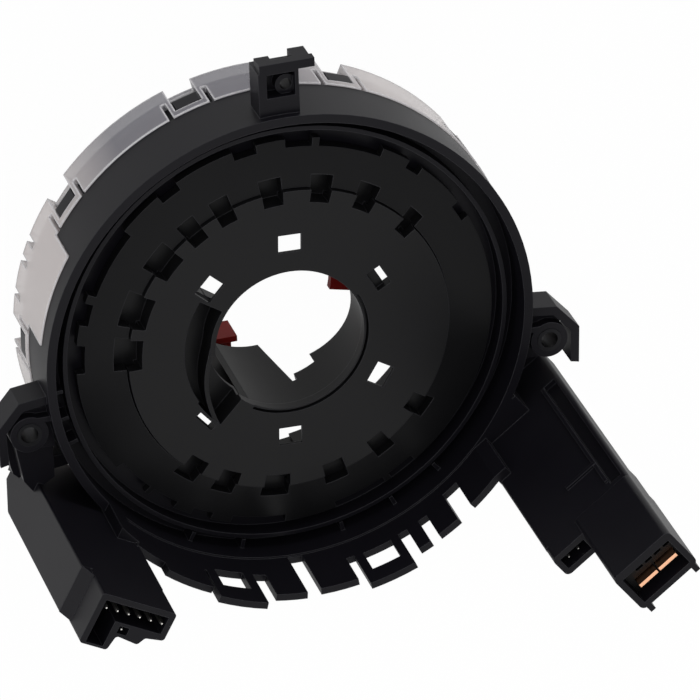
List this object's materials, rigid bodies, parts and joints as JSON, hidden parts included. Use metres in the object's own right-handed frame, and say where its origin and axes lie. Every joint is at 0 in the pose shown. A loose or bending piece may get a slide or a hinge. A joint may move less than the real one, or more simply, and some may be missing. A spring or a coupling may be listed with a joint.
{
  "type": "steering clock spring",
  "caption": "Steering clock spring: a round housing with connector towers, a rotor, and flat cables wound between them that keep the wheel's circuits connected",
  "frame": {"origin": "centre of the shaft bore, level with the face on the column side", "axes": "+Z along the steering axis towards the column side, +Y towards the top fixing ear, +X to the right ear and the larger socket"},
  "size_m": [0.1265, 0.1151, 0.1072],
  "materials": {
    "black_housing": "satin",
    "black_rotor": "satin",
    "black_carrier": "satin",
    "clear_polycarbonate": "clear",
    "tinned_contact": "satin",
    "copper_contact": "satin",
    "steel_bush": "satin",
    "glide_film": "matte",
    "flat_cable": "gloss",
    "white_carrier": "satin",
    "roller_plastic": "satin",
    "red_lock": "satin"
  },
  "bodies": {
    "stator": {"stator_housing": "black_housing", "clear_cover": "clear_polycarbonate", "left_pin_row": "tinned_contact", "left_lone_pin": "tinned_contact", "left_terminal_carrier": "black_carrier", "right_pin_pair": "tinned_contact", "right_blades": "copper_contact", "right_contacts": "copper_contact", "right_socket_insert": "black_carrier", "right_terminal_carrier": "black_carrier", "ear_bushes": "steel_bush", "upper_glide_sheet": "glide_film", "lower_glide_sheet": "glide_film", "signal_ribbon": "flat_cable", "power_ribbon": "flat_cable"},
    "rotor": {"rotor_hub": "black_rotor", "rotor_flange": "black_rotor", "retaining_ring": "black_rotor", "rotor_terminal_carrier": "black_carrier", "rotor_strips": "copper_contact", "wheel_pins_one": "tinned_contact", "wheel_pins_two": "tinned_contact"},
    "carrier": {"roller_carrier": "white_carrier"},
    "roller_one": {"roller_one": "roller_plastic"},
    "roller_two": {"roller_two": "roller_plastic"},
    "lock_one": {"lock_slide_one": "red_lock"},
    "lock_two": {"lock_slide_two": "red_lock"}
  },
  "joints": [
    {"name": "rotor_spin", "type": "hinge", "parent": "stator", "child": "rotor", "pos_m": [0, 0, 0], "axis": [0, 0, 1], "range_deg": [-900, 900], "deforming": ["signal_ribbon", "power_ribbon"]},
    {"name": "carrier_turn", "type": "hinge", "parent": "stator", "child": "carrier", "pos_m": [0, 0, -0.0217], "axis": [0, 0, 1], "range_deg": [-420, 420]},
    {"name": "roller_one_spin", "type": "hinge", "parent": "carrier", "child": "roller_one", "pos_m": [0.04191, 0.01525, -0.015], "axis": [0, 0, 1], "range_deg": [-5630, 5630]},
    {"name": "roller_two_spin", "type": "hinge", "parent": "carrier", "child": "roller_two", "pos_m": [-0.04191, -0.01525, -0.015], "axis": [0, 0, 1], "range_deg": [-5630, 5630]},
    {"name": "lock_one_slide", "type": "slide", "parent": "rotor", "child": "lock_one", "axis": [1, 0, 0], "range_m": [-0.002, 0]},
    {"name": "lock_two_slide", "type": "slide", "parent": "rotor", "child": "lock_two", "axis": [0.342, -0.9397, 0], "range_m": [0, 0.0015]}
  ],
  "couplings": [
    {"joint": "carrier_turn", "follows": "rotor_spin", "ratio": 0.4602},
    {"joint": "roller_one_spin", "follows": "rotor_spin", "ratio": -6.242},
    {"joint": "roller_two_spin", "follows": "rotor_spin", "ratio": -6.242}
  ]
}
